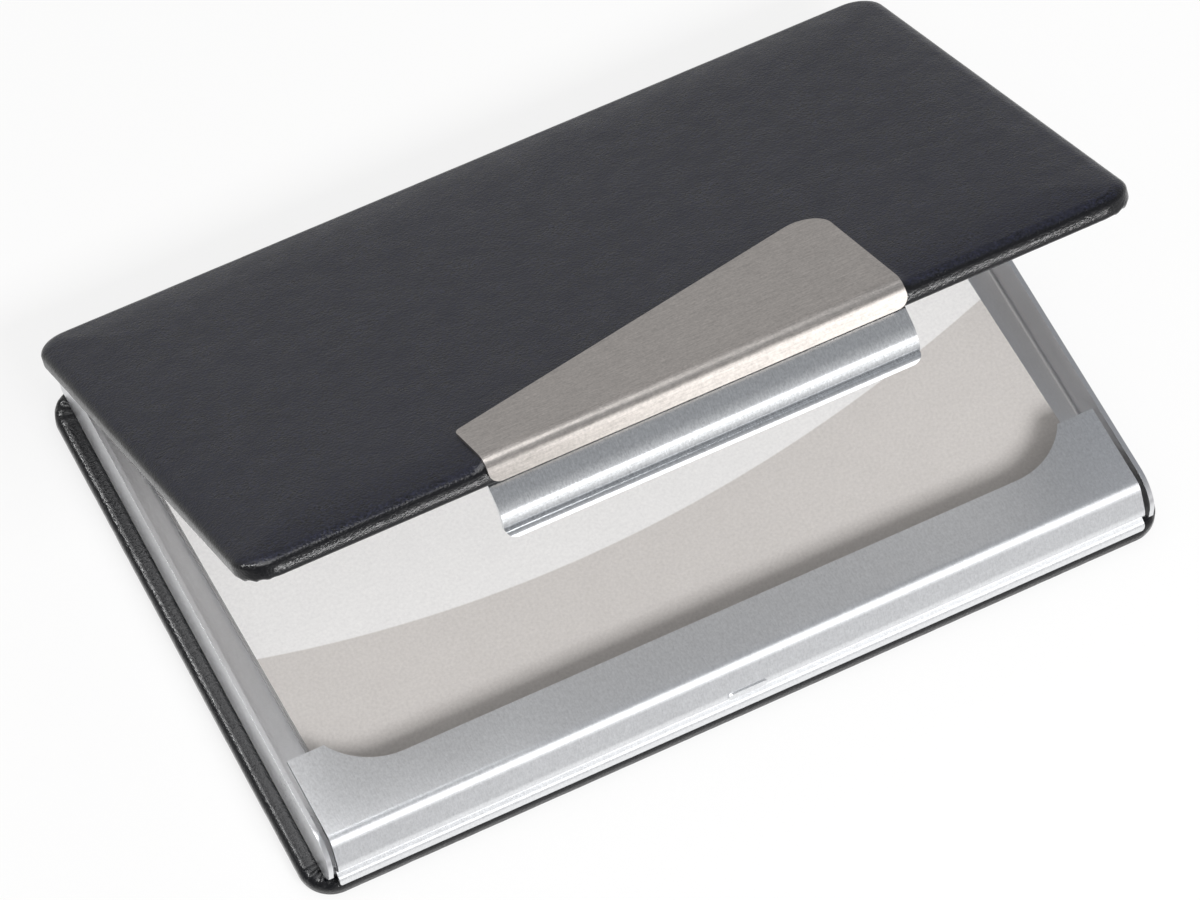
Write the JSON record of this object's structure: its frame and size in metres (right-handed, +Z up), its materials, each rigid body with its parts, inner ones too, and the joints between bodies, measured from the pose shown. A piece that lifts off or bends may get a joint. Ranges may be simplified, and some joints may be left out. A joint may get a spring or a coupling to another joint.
{
  "type": "business card case",
  "caption": "Slim rectangular card case: leather-covered aluminium tray with a hinged, padded lid, a snap-over latch flap and a front rail that holds a stack of cards.",
  "frame": {"origin": "centre of the underside of the leather-covered base", "axes": "+X along the hinge (width), -Y towards the opening front, +Z up out of the base"},
  "size_m": [0.0964, 0.0661, 0.0471],
  "materials": {
    "black_leather": "smooth, fine grain, semi-matt top with glossy turned edges",
    "stiffener_board": "pressed fibre board",
    "filler_card": "plain card",
    "foam": "thin foam",
    "satin_aluminium": "satin anodised",
    "brushed_aluminium": "brushed lengthwise",
    "steel_pin": "turned",
    "nylon_washer": "natural nylon",
    "card_stock": "smooth uncoated card, printed with a plain curved tint"
  },
  "bodies": {
    "base": {"base_leather": "black_leather", "base_board": "stiffener_board", "base_filler": "filler_card", "card_tray": "satin_aluminium", "card_retainer": "satin_aluminium", "hinge_pins": "steel_pin", "hinge_washers": "nylon_washer"},
    "lid": {"lid_liner": "satin_aluminium", "latch_flap": "satin_aluminium", "lid_filler": "filler_card", "lid_board": "stiffener_board", "lid_padding": "foam", "lid_leather": "black_leather", "clasp_plate": "brushed_aluminium"},
    "cards": {"business_cards": "card_stock"}
  },
  "joints": [
    {"name": "lid_hinge", "type": "hinge", "parent": "base", "child": "lid", "pos_m": [0, 0.0294, 0.007], "axis": [-1, 0, 0], "range_deg": [-35.1, 64.9]},
    {"name": "card_slide", "type": "slide", "parent": "base", "child": "cards", "axis": [0, 1, 0], "range_m": [0, 0.0034]}
  ]
}
